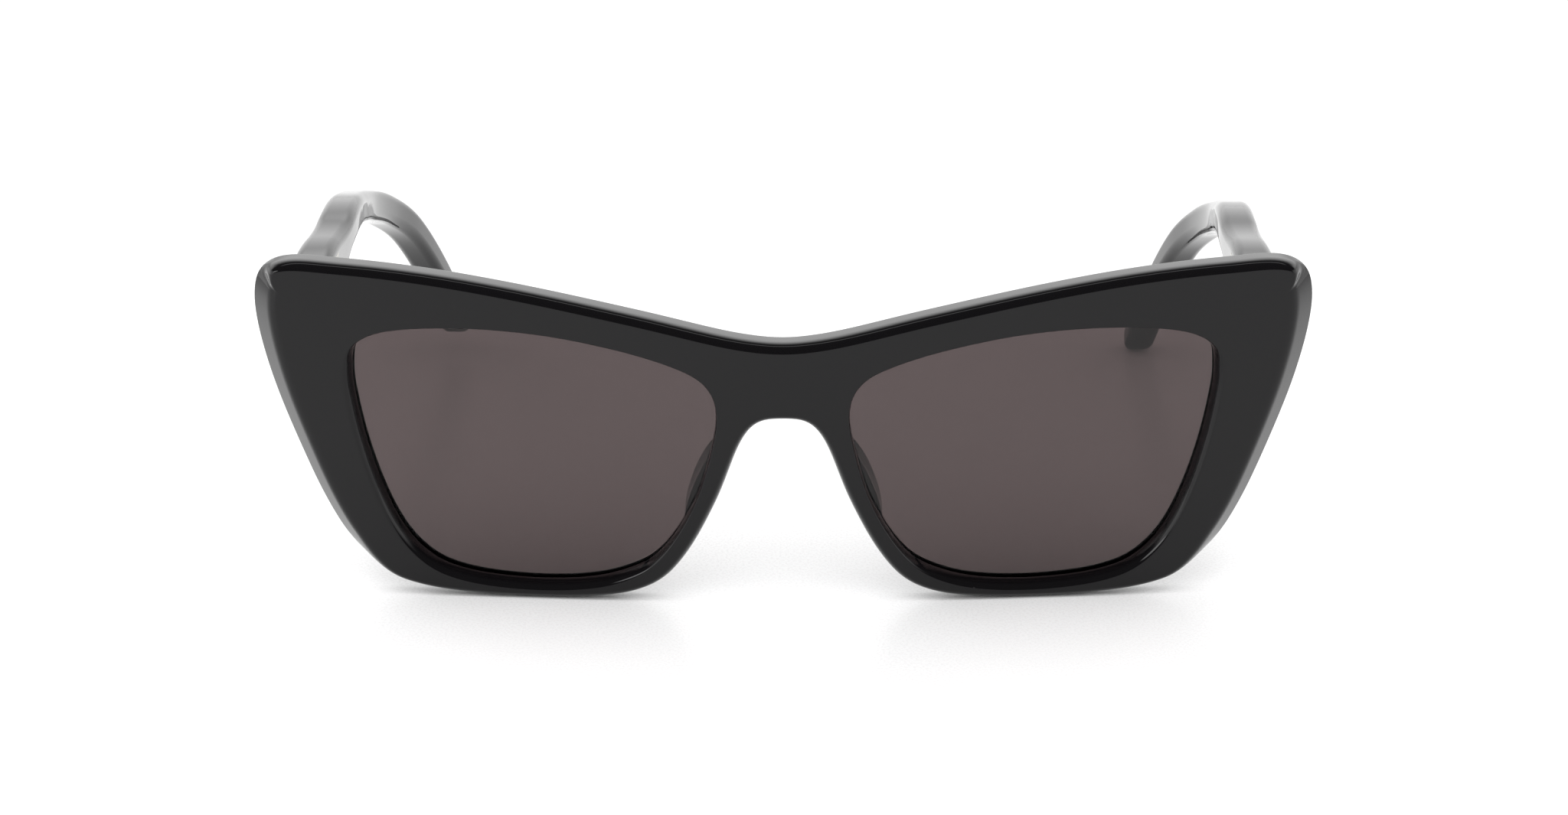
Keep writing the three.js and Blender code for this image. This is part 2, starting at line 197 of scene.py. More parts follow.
for shape, level in ((strip, HEAD_STRIP), (pane, WINDOW)):
    mirrored_light = math_node(sky, "ADD", mirrored_light, math_node(sky, "MULTIPLY", shape, level))
ray = sky.nodes.new("ShaderNodeLightPath").outputs
seen = math_node(sky, "MULTIPLY", ray["Is Camera Ray"], BACKDROP - SOFT_FILL)
plain_light = math_node(sky, "ADD", SOFT_FILL, seen)
difference = math_node(sky, "SUBTRACT", mirrored_light, plain_light)
strength = math_node(sky, "ADD", plain_light, math_node(sky, "MULTIPLY", difference, ray["Is Glossy Ray"]))
background = sky.nodes.new("ShaderNodeBackground")
background.inputs["Color"].default_value = (1.0, 1.0, 1.0, 1.0)
link(sky, strength, background.inputs["Strength"])
world_output = sky.nodes.new("ShaderNodeOutputWorld")
link(sky, background.outputs[0], world_output.inputs["Surface"])
print("world light nodes", len(sky.nodes))


# %% Soft lamps that light the table but leave no mirror image
def soft_lamp(name, width, height, watts, place, target):
    lamp = bpy.data.lights.new(name, "AREA")
    lamp.shape = "RECTANGLE"
    lamp.size = width
    lamp.size_y = height
    lamp.energy = watts
    holder = bpy.data.objects.new(name, lamp)
    scene.collection.objects.link(holder)
    turn = (Vector(target) - Vector(place)).to_track_quat("-Z", "Y")
    holder.matrix_world = Matrix.Translation(Vector(place)) @ turn.to_matrix().to_4x4()
    holder.visible_glossy = False
    holder.visible_camera = False


soft_lamp("front_lamp", 1.2, 0.8, 4.6, (0.0, -0.62, 0.72), (0, 0, 0))
soft_lamp("left_table_lamp", 0.14, 0.25, 0.11, (-0.18, 0.0, 0.1), (-0.18, 0.0, 0))
soft_lamp("right_table_lamp", 0.14, 0.25, 0.055, (0.18, 0.0, 0.1), (0.18, 0.0, 0))

# %% [markdown]
# ## Table
#
# The glasses lie on a white satin board. It is one big plane with a faint tooth in its
# gloss, so that it mirrors the rims only weakly near where they touch.


# %% Turning a bmesh into a piece
def new_object(bm, name, material):
    for face in bm.faces:
        face.smooth = True
    mesh = bpy.data.meshes.new(name)
    bm.to_mesh(mesh)
    bm.free()
    mesh.materials.append(material)
    made = bpy.data.objects.new(name, mesh)
    scene.collection.objects.link(made)
    return made


def new_material(name):
    material = bpy.data.materials.new(name)
    material.use_nodes = True
    tree = material.node_tree
    return material, tree, tree.nodes["Principled BSDF"].inputs


def object_vector(tree, scale=(1, 1, 1), turn=(0, 0, 0)):
    """Object coordinates, stretched and turned so that a grain can run along a piece."""
    mapping = tree.nodes.new("ShaderNodeMapping")
    mapping.inputs["Scale"].default_value = scale
    mapping.inputs["Rotation"].default_value = turn
    link(tree, tree.nodes.new("ShaderNodeTexCoord").outputs["Object"], mapping.inputs["Vector"])
    return mapping.outputs["Vector"]


def noise(tree, vector, scale, detail=2.0):
    node = tree.nodes.new("ShaderNodeTexNoise")
    node.inputs["Scale"].default_value = scale
    node.inputs["Detail"].default_value = detail
    link(tree, vector, node.inputs["Vector"])
    return node.outputs["Fac"]


def bump(tree, height, strength, distance):
    node = tree.nodes.new("ShaderNodeBump")
    node.inputs["Strength"].default_value = strength
    node.inputs["Distance"].default_value = distance
    link(tree, height, node.inputs["Height"])
    return node.outputs["Normal"]


# %% Table top
TABLE_WHITE = 0.90
TABLE_HALF = 6.0
table_paint, tree, sockets = new_material("table_satin")
sockets["Base Color"].default_value = (TABLE_WHITE, TABLE_WHITE, TABLE_WHITE, 1)
sockets["IOR"].default_value = 1.18
tooth = noise(tree, object_vector(tree), 2500.0)
link(tree, ramp(tree, tooth, 0.3, 0.7, 0.26, 0.30), sockets["Roughness"])
bm = bmesh.new()
bmesh.ops.create_grid(bm, x_segments=1, y_segments=1, size=TABLE_HALF)
table = new_object(bm, "table", table_paint)
print("table side in m", 2 * TABLE_HALF)

# %% [markdown]
# ## Shared surface effects
#
# Tumbled acetate is glossy but not perfect: the shine drifts a little from place to
# place, cloths leave hair-fine lines, and dust settles on it. Two small node groups make
# those effects once; the acetate finishes place both with their own amounts, and the lens places the gloss
# drift.


# %% Node groups
def new_group(name, inputs, outputs):
    group = bpy.data.node_groups.new(name, "ShaderNodeTree")
    for label, kind in inputs:
        group.interface.new_socket(label, in_out="INPUT", socket_type=kind)
    for label, kind in outputs:
        group.interface.new_socket(label, in_out="OUTPUT", socket_type=kind)
    return group, group.nodes.new("NodeGroupInput").outputs, group.nodes.new("NodeGroupOutput").inputs


FLOAT = "NodeSocketFloat"
VECTOR = "NodeSocketVector"
gloss_drift, given, result = new_group(
    "gloss_drift",
    [("Vector", VECTOR), ("Low", FLOAT), ("High", FLOAT), ("Scratch", FLOAT)],
    [("Roughness", FLOAT), ("Height", FLOAT)],
)
patches = noise(gloss_drift, given["Vector"], 70.0, 3.0)
drift = math_node(gloss_drift, "MULTIPLY", ramp(gloss_drift, patches, 0.3, 0.7),
                  math_node(gloss_drift, "SUBTRACT", given["High"], given["Low"]))
lines = gloss_drift.nodes.new("ShaderNodeMapping")
lines.inputs["Scale"].default_value = (30.0, 30.0, 2600.0)
lines.inputs["Rotation"].default_value = (0.5, 0.35, 0.2)
link(gloss_drift, given["Vector"], lines.inputs["Vector"])
hairs = ramp(gloss_drift, noise(gloss_drift, lines.outputs["Vector"], 1.0, 1.0), 0.66, 0.74)
marks = math_node(gloss_drift, "MULTIPLY", hairs, given["Scratch"])
total = math_node(gloss_drift, "ADD", math_node(gloss_drift, "ADD", given["Low"], drift), marks)
link(gloss_drift, total, result["Roughness"])
ripple = noise(gloss_drift, given["Vector"], 240.0, 1.0)
dents = math_node(gloss_drift, "MULTIPLY", hairs, 0.2)
link(gloss_drift, math_node(gloss_drift, "SUBTRACT", ripple, dents), result["Height"])

dust_specks, given, result = new_group(
    "dust_specks", [("Vector", VECTOR), ("Scale", FLOAT), ("Amount", FLOAT)], [("Mask", FLOAT)])
cells = dust_specks.nodes.new("ShaderNodeTexVoronoi")
link(dust_specks, given["Vector"], cells.inputs["Vector"])
link(dust_specks, given["Scale"], cells.inputs["Scale"])
spots = ramp(dust_specks, cells.outputs["Distance"], 0.03, 0.06, 1.0, 0.0)
rare = dust_specks.nodes.new("ShaderNodeSeparateColor")
link(dust_specks, cells.outputs["Color"], rare.inputs[0])
chosen = math_node(dust_specks, "LESS_THAN", rare.outputs[0], given["Amount"])
link(dust_specks, math_node(dust_specks, "MULTIPLY", spots, chosen), result["Mask"])
print("node groups", [g.name for g in bpy.data.node_groups])


def place_group(tree, group, vector, **values):
    node = tree.nodes.new("ShaderNodeGroup")
    node.node_tree = group
    link(tree, vector, node.inputs["Vector"])
    for label, number in values.items():
        node.inputs[label].default_value = number
    return node.outputs


# %% [markdown]
# ## Finishes
#
# Polished black acetate is nearly pure mirror over black. The pads are the same sheet,
# tumbled but less buffed. The hinges are nickel silver with a fine drawn grain, and the
# wires inside the temples are plainer. The lens is clear brown-grey glass, and lamps
# pass through it as they do through a real tint.


# %% Acetate
def acetate(name, low, high, scratch, ripple_height):
    material, tree, sockets = new_material(name)
    vector = object_vector(tree)
    surface = place_group(tree, gloss_drift, vector, Low=low, High=high, Scratch=scratch)
    dust = place_group(tree, dust_specks, vector, Scale=420.0, Amount=0.02)
    color = tree.nodes.new("ShaderNodeMix")
    color.data_type = "RGBA"
    color.inputs["A"].default_value = (0.0032, 0.0029, 0.0034, 1)
    color.inputs["B"].default_value = (0.035, 0.034, 0.033, 1)
    link(tree, dust["Mask"], color.inputs["Factor"])
    link(tree, color.outputs["Result"], sockets["Base Color"])
    link(tree, surface["Roughness"], sockets["Roughness"])
    link(tree, bump(tree, surface["Height"], 0.35, ripple_height), sockets["Normal"])
    sockets["IOR"].default_value = 1.36
    return material


acetate_polished = acetate("acetate_polished", 0.03, 0.06, 0.05, 0.000012)
acetate_pad = acetate("acetate_pad", 0.10, 0.18, 0.08, 0.00002)


# %% Metal
def drawn_metal(name, color, low, high, grain):
    material, tree, sockets = new_material(name)
    streaks = noise(tree, object_vector(tree, grain), 1.0, 3.0)
    blotch = noise(tree, object_vector(tree), 900.0, 2.0)
    tone = tree.nodes.new("ShaderNodeMix")
    tone.data_type = "RGBA"
    tone.inputs["A"].default_value = (*[0.72 * c for c in color], 1)
    tone.inputs["B"].default_value = (*color, 1)
    link(tree, ramp(tree, blotch, 0.3, 0.6), tone.inputs["Factor"])
    link(tree, tone.outputs["Result"], sockets["Base Color"])
    link(tree, ramp(tree, streaks, 0.3, 0.7, low, high), sockets["Roughness"])
    link(tree, bump(tree, streaks, 0.4, 0.00002), sockets["Normal"])
    sockets["Metallic"].default_value = 1.0
    return material


hinge_metal = drawn_metal("hinge_metal", (0.63, 0.61, 0.57), 0.16, 0.34, (500, 500, 14000))
screw_metal = drawn_metal("screw_metal", (0.70, 0.68, 0.65), 0.12, 0.25, (9000, 9000, 900))
wire_metal = drawn_metal("wire_metal", (0.55, 0.54, 0.52), 0.25, 0.42, (9000, 300, 9000))

# %% Tinted lens
LENS_TINT = (0.079, 0.058, 0.058, 1)
lens_glass, tree, sockets = new_material("lens_glass")
vector = object_vector(tree)
sockets["Base Color"].default_value = LENS_TINT
sockets["Transmission Weight"].default_value = 1.0
sockets["IOR"].default_value = 1.4
smears = place_group(tree, gloss_drift, vector, Low=0.0, High=0.012, Scratch=0.01)
link(tree, smears["Roughness"], sockets["Roughness"])
passing = tree.nodes.new("ShaderNodeBsdfTransparent")
passing.inputs["Color"].default_value = (*[math.sqrt(c) for c in LENS_TINT[:3]], 1)
mix = tree.nodes.new("ShaderNodeMixShader")
link(tree, tree.nodes.new("ShaderNodeLightPath").outputs["Is Shadow Ray"], mix.inputs["Fac"])
link(tree, tree.nodes["Principled BSDF"].outputs[0], mix.inputs[1])
link(tree, passing.outputs[0], mix.inputs[2])
link(tree, mix.outputs[0], tree.nodes["Material Output"].inputs["Surface"])
print("materials", [m.name for m in bpy.data.materials])

# %% [markdown]
# ## Drawing curves
#
# A rim is cut along a flowing line, so its outline is a short list of points with one
# smooth curve through them. The curve is walked in even steps and lightly smoothed,
# because a mirror finish shows every small change of curvature.


# %% Curves through points
def curve_through(points, closed):
    """A fine centripetal curve through the points, as an array."""
    given = [np.array(p, float) for p in points]
    if closed:
        guide = [given[-1], *given, given[0], given[1]]
    else:
        guide = [2 * given[0] - given[1], *given, 2 * given[-1] - given[-2]]
    line = []
    for before, start, end, after in zip(guide, guide[1:], guide[2:], guide[3:]):
        ta, tb, tc = (math.sqrt(np.linalg.norm(q - p))
                      for p, q in ((before, start), (start, end), (end, after)))
        leave = tb * ((start - before) / ta - (end - before) / (ta + tb) + (end - start) / tb)
        arrive = tb * ((end - start) / tb - (after - start) / (tb + tc) + (after - end) / tc)
        for t in np.linspace(0, 1, 32, endpoint=False):
            line.append(start * (1 + 2 * t) * (1 - t) ** 2 + leave * t * (1 - t) ** 2
                        + end * t * t * (3 - 2 * t) + arrive * t * t * (t - 1))
    if not closed:
        line.append(given[-1])
    return np.array(line)


def even_steps(line, step, closed):
    """The same line with points at even distances of about one step."""
    path = np.vstack([line, line[:1]]) if closed else line
    walked = np.concatenate([[0], np.cumsum(np.linalg.norm(np.diff(path, axis=0), axis=1))])
    count = int(round(walked[-1] / step))
    marks = np.linspace(0, walked[-1], count, endpoint=not closed)
    return np.stack([np.interp(marks, walked, path[:, k]) for k in range(path.shape[1])], axis=1)


def smooth_closed(line, reach):
    """Averages each point of a closed line with its neighbours, with a soft weight."""
    weights = np.exp(-0.5 * (np.arange(-3 * reach, 3 * reach + 1) / reach) ** 2)
    weights /= weights.sum()
    return sum(w * np.roll(line, k, axis=0) for w, k in zip(weights, range(-3 * reach, 3 * reach + 1)))


def outward(loop):
    """Unit normals of a closed counter-clockwise flat loop, pointing out of it."""
    along = np.roll(loop, -1, axis=0) - np.roll(loop, 1, axis=0)
    along /= np.linalg.norm(along, axis=1)[:, None]
    return np.stack([along[:, 1], -along[:, 0]], axis=1)


def smoothstep(low, high, x):
    t = np.clip((x - low) / (high - low), 0, 1)
    return t * t * (3 - 2 * t)


# %% The two lines of one half, drawn flat
HALF_OUTLINE = [
    (0, 27.6), (3.2, 27.3), (5.4, 24.9), (9.3, 15.1), (13.4, 7.2), (16.8, 3.2), (21, 1.2),
    (27, 0.25), (35, 0), (43, 0.2), (50.3, 1.1), (55.7, 3.05), (60.1, 6.6), (63.3, 11.9),
    (67.1, 21.2), (70.3, 30.8), (71.95, 38.4), (72.2, 43), (71.25, 46.5), (68.3, 48.2),
    (60, 48.05), (48.6, 47), (36.3, 45.1), (19.7, 41.8), (7.3, 39.1), (3, 38.55), (0, 38.45),
]
OPENING = [
    (8.9, 28.4), (9.5, 31.2), (11.2, 33.3), (13.9, 34.7), (18.9, 36.4), (24.9, 37.85),
    (31.5, 39), (38.6, 39.65), (45.4, 39.75), (51.9, 39.3), (55.7, 38.5), (58.6, 36.7),
    (59.9, 33.6), (59.3, 26.9), (57.4, 18.6), (54.6, 11.1), (52.1, 7.1), (48.6, 4),
    (44.3, 2.4), (38.1, 1.55), (33, 1.4), (28, 1.7), (23.4, 2.6), (19.2, 4.6),
    (15.8, 8.3), (12.1, 15), (10.4, 20.1), (9.2, 25.4),
]
STEP = 0.6
SMOOTH_REACH = 2
other_half = [(-u, v) for u, v in HALF_OUTLINE[-2:0:-1]]
full_outline = curve_through(HALF_OUTLINE + other_half, True)
outline = smooth_closed(even_steps(full_outline, STEP, True), SMOOTH_REACH)
opening = smooth_closed(even_steps(curve_through(OPENING[::-1], True), STEP, True), SMOOTH_REACH)
print("outline points", len(outline), "opening points", len(opening))

# %% [markdown]
# ## Acetate front
#
# On the real front the sheet is milled to shape, its front edge is rounded over, and a
# wide facet is cut along each temporal side before tumbling. Bevelling one sharp edge
# could not widen from a small rounding into that facet, so the edge is lofted: rings of
# points follow the outline at each stage of the rounding, and a grid is bent onto them.

# %% Front sizes
FRONT_T = 4.3
FRONT_TILT = math.radians(5.5)
FRONT_WRAP = math.radians(5.0)
BRIDGE_RADIUS = 35.0
EDGE_WIDTH = 1.1
EDGE_DEPTH = 2.3
FACET_WIDTH_LOW = 3.4
FACET_WIDTH_RISE = 0.015
FACET_DEPTH = 3.6
BACK_ROUND = 0.45
SEAT_DEPTH = 2.0
GROOVE_DEPTH = 1.0
GROOVE_WIDTH = 1.8
EDGE_RINGS = 16
FACET_TURN = 55
FACET_EASE = 0.35
FACET_NORMAL = (0.3, 0.85)
FACET_FROM = (45, 55)
WINDOW_INSET = 0.25
WINDOW_SLOPE = 0.85
LIP_EASE = 0.15
SEAT_EASE = 0.06
WALL_EASE = 0.05
BACK_FLARE = 0.25
BACK_FLARE_DEPTH = 0.2
BRIDGE_CUTS = 15


# %% Edge profiles
def round_profile(count):
    """A quarter of an ellipse, as shares of its width and depth."""
    angle = np.linspace(0, math.pi / 2, count)
    return np.sin(angle), 1 - np.cos(angle)


def facet_profile(count):
    """A flat facet with an eased inner crest and a crisp outer edge."""
    t = np.linspace(0, 1, 400)
    turn = FACET_TURN * smoothstep(0, FACET_EASE, t)
    across = np.cumsum(np.cos(np.radians(turn)))
    back = np.cumsum(np.sin(np.radians(turn)))
    marks = np.linspace(0, 1, count)
    return (np.interp(marks, t, (across - across[0]) / (across[-1] - across[0])),
            np.interp(marks, t, (back - back[0]) / (back[-1] - back[0])))


round_across, round_back = round_profile(EDGE_RINGS)
facet_across, facet_back = facet_profile(EDGE_RINGS)


# %% Lofting a sheet through rings
def loft(bm, rings):
    """Bends a grid onto matching closed rings, welds its seam, and returns its two rims."""
    around, across = len(rings[0]), len(rings) - 1
    sheet = bmesh.ops.create_grid(bm, x_segments=around, y_segments=across, size=0.5)["verts"]
    ends = {0: set(), across: set()}
    for vertex in sheet:
        place = round((vertex.co.x + 0.5) * around) % around
        stage = round((vertex.co.y + 0.5) * across)
        vertex.co = rings[stage][place]
        if stage in ends:
            ends[stage].add(vertex)
    bmesh.ops.remove_doubles(bm, verts=sheet, dist=1e-6)
    return [[e for e in bm.edges if e.is_boundary and corners.issuperset(e.verts)]
            for corners in ends.values()]


def at_depth(loop, depth):
    depths = np.broadcast_to(depth, (len(loop),))
    return np.stack([loop[:, 0], depths, loop[:, 1]], axis=1)


# %% Rings round the outline and round each opening
def outline_rings():
    normals = outward(outline)
    side = smoothstep(*FACET_NORMAL, np.abs(normals[:, 0])) * smoothstep(*FACET_FROM, np.abs(outline[:, 0]))
    width = EDGE_WIDTH + side * (FACET_WIDTH_LOW + FACET_WIDTH_RISE * outline[:, 1] - EDGE_WIDTH)
    depth = EDGE_DEPTH + side * (FACET_DEPTH - EDGE_DEPTH)
    rings = []
    for k in range(EDGE_RINGS):
        across = round_across[k] + side * (facet_across[k] - round_across[k])
        back = round_back[k] + side * (facet_back[k] - round_back[k])
        rings.append(at_depth(outline - normals * (width * (1 - across))[:, None], depth * back))
    for angle in np.linspace(0, math.pi / 2, 5):
        inset = BACK_ROUND * (1 - math.cos(angle))
        rings.append(at_depth(outline - normals * inset, FRONT_T - BACK_ROUND * (1 - math.sin(angle))))
    return rings


def window_loop():
    """The edge of the lens window: the opening drawn in where the rim wall slopes."""
    normals = outward(opening)
    slope = smoothstep(-0.2, 0.6, normals @ np.array([0.6, -0.8]))
    return opening - normals * (WINDOW_INSET + WINDOW_SLOPE * slope)[:, None]


window = window_loop()


def opening_rings():
    normals = outward(opening)
    lip = opening + LIP_EASE * normals
    rings = []
    for k in range(EDGE_RINGS):
        rings.append(at_depth(lip + (window - lip) * round_across[k], SEAT_DEPTH * round_back[k]))
    around = outward(window)
    groove_front = SEAT_DEPTH + SEAT_EASE
    groove_back = SEAT_DEPTH + GROOVE_WIDTH
    walls = ((SEAT_EASE, groove_front), (GROOVE_DEPTH, groove_front), (GROOVE_DEPTH, groove_back),
             (WALL_EASE, groove_back), (0.0, groove_back + WALL_EASE),
             (WALL_EASE, FRONT_T - BACK_FLARE_DEPTH), (BACK_FLARE, FRONT_T))
    for grow, depth in walls:
        rings.append(at_depth(window + grow * around, depth))
    return rings


# %% Wrapping the flat drawing round the bridge
def on_front(u, d, v):
    """A point of the flat drawing (across, back, up, in mm) as it stands, in metres."""
    side = math.copysign(1, u)
    u = abs(u)
    bend = min(u / BRIDGE_RADIUS, FRONT_WRAP)
    straight = u - bend * BRIDGE_RADIUS
    settle = BRIDGE_RADIUS * (FRONT_WRAP * math.sin(FRONT_WRAP) - 1 + math.cos(FRONT_WRAP))
    x = (BRIDGE_RADIUS - d) * math.sin(bend) + straight * math.cos(bend)
    y = BRIDGE_RADIUS - (BRIDGE_RADIUS - d) * math.cos(bend) + straight * math.sin(bend) + settle
    return ORIGIN + MM * Vector((
        side * x,
        y * math.cos(FRONT_TILT) - v * math.sin(FRONT_TILT),
        y * math.sin(FRONT_TILT) + v * math.cos(FRONT_TILT),
    ))


def stand_on_front(bm):
    for vertex in bm.verts:
        vertex.co = on_front(*vertex.co)


def mirrored(rings):
    """The same rings on the other half, walked the same way round."""
    return [ring[::-1] * np.array([-1, 1, 1]) for ring in rings]


def face_out(bm):
    bmesh.ops.remove_doubles(bm, verts=bm.verts, dist=1e-6)
    bmesh.ops.recalc_face_normals(bm, faces=bm.faces)


def crease(bm, degrees):
    """Keeps real corners sharp, so that smooth shading does not smear over them."""
    for edge in bm.edges:
        edge.smooth = len(edge.link_faces) == 2 and edge.calc_face_angle(0) < math.radians(degrees)


def weigh_normals(piece):
    """Lets broad flat faces set the shading at their borders."""
    modifier = piece.modifiers.new("weighted_normals", "WEIGHTED_NORMAL")
    modifier.mode = "FACE_AREA_WITH_ANGLE"
    modifier.keep_sharp = True
    modifier.weight = 90


def seat(piece, body, slot, *nodes):
    """Rides the piece on its body and stands in for its CAD nodes. The slot argument is not used."""
    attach(piece, body)
    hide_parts(*nodes)
    print(piece.name, "rides on", body, "with", len(piece.data.polygons), "faces")


# %% Build the front
bm = bmesh.new()
front_rims, back_rims = [], []
for rings in (outline_rings(), opening_rings(), mirrored(opening_rings())):
    first, last = loft(bm, rings)
    front_rims += first
    back_rims += last
bmesh.ops.triangle_fill(bm, edges=front_rims, use_beauty=True, normal=(0, -1, 0))
bmesh.ops.triangle_fill(bm, edges=back_rims, use_beauty=True, normal=(0, 1, 0))
bridge_half = BRIDGE_RADIUS * FRONT_WRAP
for cut in np.linspace(-bridge_half, bridge_half, BRIDGE_CUTS):
    everything = bm.verts[:] + bm.edges[:] + bm.faces[:]
    bmesh.ops.bisect_plane(bm, geom=everything, dist=1e-5, plane_co=(cut, 0, 0), plane_no=(1, 0, 0))
face_out(bm)
stand_on_front(bm)
crease(bm, 33)
front = new_object(bm, "acetate_front", acetate_polished)
weigh_normals(front)
seat(front, "front", "acetate_black", "front_frame")

# %% [markdown]
# ## Lenses
#
# A lens is a thin shell with a gentle base curve, snapped into a groove behind a narrow
# lip. A flat plate would mirror the room in one sudden patch. Rings shrink towards the
# middle and lift by the curve, over the front face and back along the rear one, and one
# grid bent onto them makes the shell. A tiny flat face closes the middle of each side.

# %% Lens
LENS_T = 1.3
LENS_SEAT = 0.7
LENS_SAG = 0.9
LENS_FRONT = SEAT_DEPTH + 0.12
LENS_RINGS = 24
LENS_CAP = 0.02
lens_edge = window + LENS_SEAT * outward(window)
lens_middle = lens_edge.mean(axis=0)


def build_lens(side, sign):
    bm = bmesh.new()
    shares = np.linspace(LENS_CAP, 1, LENS_RINGS)
    rings = []
    for surface, order in ((LENS_FRONT, shares), (LENS_FRONT + LENS_T, shares[::-1])):
        for share in order:
            loop = lens_middle + (lens_edge - lens_middle) * share
            rings.append(at_depth(loop, surface - LENS_SAG * (1 - share * share)))
    for rim in loft(bm, rings if sign > 0 else mirrored(rings)):
        bmesh.ops.contextual_create(bm, geom=rim)
    face_out(bm)
    stand_on_front(bm)
    crease(bm, 50)
    lens = new_object(bm, "lens_glass_" + side, lens_glass)
    seat(lens, "front", "lens_tint", "lens_" + side)


build_lens("right", 1)
build_lens("left", -1)

# %% [markdown]
# ## Nose pads
#
# Each pad starts as a slip of acetate glued behind the rim and filed into a soft hook
# that leans towards the nose. Stacked ovals that shrink and drift give that shape, and
# the last one, drawn in almost to a point, is filled.

# %% Nose pads
PAD_MIDDLE = np.array([10.75, 16.6])
PAD_ALONG = np.array([-0.39, 0.92])
PAD_ACROSS = np.array([0.92, 0.39])
PAD_HALF_LENGTH = 7.4
PAD_HALF_WIDTH = 1.7
PAD_DEPTH = 5.0
PAD_LEVELS = [(0, 1, 0), (0.25, 1, 0.1), (0.5, 0.97, 0.35), (0.75, 0.86, 0.75), (0.93, 0.66, 1.1),
              (1, 0.42, 1.25)]


def pad_rings():
    heights = curve_through(PAD_LEVELS, False)[::8]
    turn = np.linspace(0, 2 * math.pi, 64, endpoint=False)
    rings = []
    for rise, scale, drift in [*heights, (1.015, 0.2, 1.28), (1.02, 0.01, 1.28)]:
        loop = (PAD_MIDDLE
                + np.outer(PAD_HALF_LENGTH * scale * np.cos(turn), PAD_ALONG)
                + np.outer(PAD_HALF_WIDTH * scale * np.sin(turn) + drift, PAD_ACROSS))
        rings.append(at_depth(loop, FRONT_T + 0.02 + PAD_DEPTH * rise))
    return rings


for side, sign in (("right", 1), ("left", -1)):
    bm = bmesh.new()
    rings = pad_rings() if sign > 0 else mirrored(pad_rings())
    for rim in loft(bm, rings):
        bmesh.ops.triangle_fill(bm, edges=rim, use_beauty=True)
    face_out(bm)
    stand_on_front(bm)
    crease(bm, 60)
    pad = new_object(bm, "pad_" + side, acetate_pad)
    seat(pad, "front", "acetate_black", "nose_pad_" + side)

# %% [markdown]
# ## Temples
#
# A temple is one bar of acetate, tall at the hinge and slim along the side, bent down
# behind the ear and inwards at its tip. The bar is lofted: a rounded section travels
# along the middle line, then a plane cuts the butt where it meets the front.

# %% Temple sizes
TEMPLE_T = 5.4
TEMPLE_TIP_T = 5.0
TEMPLE_BUTT_H = 10.4
TEMPLE_H = 4.9
TEMPLE_EDGE_R = 1.5
TEMPLE_LINE = [
    (64.4, 2, 41.9), (64.4, 12, 41.95), (64.4, 24, 42.4), (64.4, 42, 42.7), (64.8, 54, 41.4),
    (65.3, 66, 38.9), (65.4, 80, 35.4), (64.0, 95, 30.7), (61.4, 107.5, 24.2), (58.3, 119, 13.6),
    (55.2, 128.2, 1.1),
]
SPLAY = {"right": math.radians(1.7), "left": math.radians(0.4)}
LEFT_LIFT = math.radians(1.45)
BUTT_GAP = 0.08
BUTT_AT = (60, 40)
BUTT_EASE = 0.00018
TAPER = (10, 36)
THIN_FROM = 50
TIP_SHARE = 0.45
temple_line = even_steps(curve_through(TEMPLE_LINE, False), 1.0, False)
temple_length = np.linalg.norm(np.diff(temple_line, axis=0), axis=1).sum()
print("temple length along its middle, mm", round(float(temple_length), 1))


# %% Temple rings
def rounded_section(thickness, height, radius):
    """A rounded rectangle, walked round its four corners."""
    radius = min(radius, 0.49 * thickness, 0.49 * height)
    loop = []
    for quarter, (a, b) in enumerate(((1, 1), (-1, 1), (-1, -1), (1, -1))):
        for angle in (quarter + np.linspace(0, 1, 8)) * math.pi / 2:
            loop.append((a * (thickness / 2 - radius) + radius * math.cos(angle),
                         b * (height / 2 - radius) + radius * math.sin(angle)))
    return np.array(loop)


def temple_section(walked):
    height = TEMPLE_BUTT_H + (TEMPLE_H - TEMPLE_BUTT_H) * smoothstep(*TAPER, walked)
    thickness = TEMPLE_T + (TEMPLE_TIP_T - TEMPLE_T) * smoothstep(THIN_FROM, temple_length, walked)
    past = max(0.0, walked - temple_length + TEMPLE_H / 2)
    left = max(0.0, 1 - past / (TEMPLE_H / 2))
    closing = math.sin(math.acos(1 - max(left, 0.02)))
    narrow = thickness * (TIP_SHARE + (1 - TIP_SHARE) * closing)
    return rounded_section(narrow, height * closing, TEMPLE_EDGE_R * closing)


def temple_rings():
    walked = np.concatenate([[0], np.cumsum(np.linalg.norm(np.diff(temple_line, axis=0), axis=1))])
    along = np.linspace(0, temple_length - TEMPLE_H / 2, 150)
    tip = temple_length - TEMPLE_H / 2 + TEMPLE_H / 2 * np.sin(np.linspace(0, math.pi / 2, 12)[1:])
    rings = []
    for s in [*along, *tip]:
        middle = np.array([np.interp(s, walked, temple_line[:, k]) for k in range(3)])
        ahead = np.array([np.interp(s + 0.8, walked, temple_line[:, k]) for k in range(3)])
        behind_it = np.array([np.interp(s - 0.8, walked, temple_line[:, k]) for k in range(3)])
        run = ahead - behind_it
        rise = np.array([0, -run[2], run[1]]) / math.hypot(run[1], run[2])
        section = temple_section(s)
        rings.append(middle + np.outer(section[:, 0], (1, 0, 0)) + np.outer(section[:, 1], rise))
    return rings


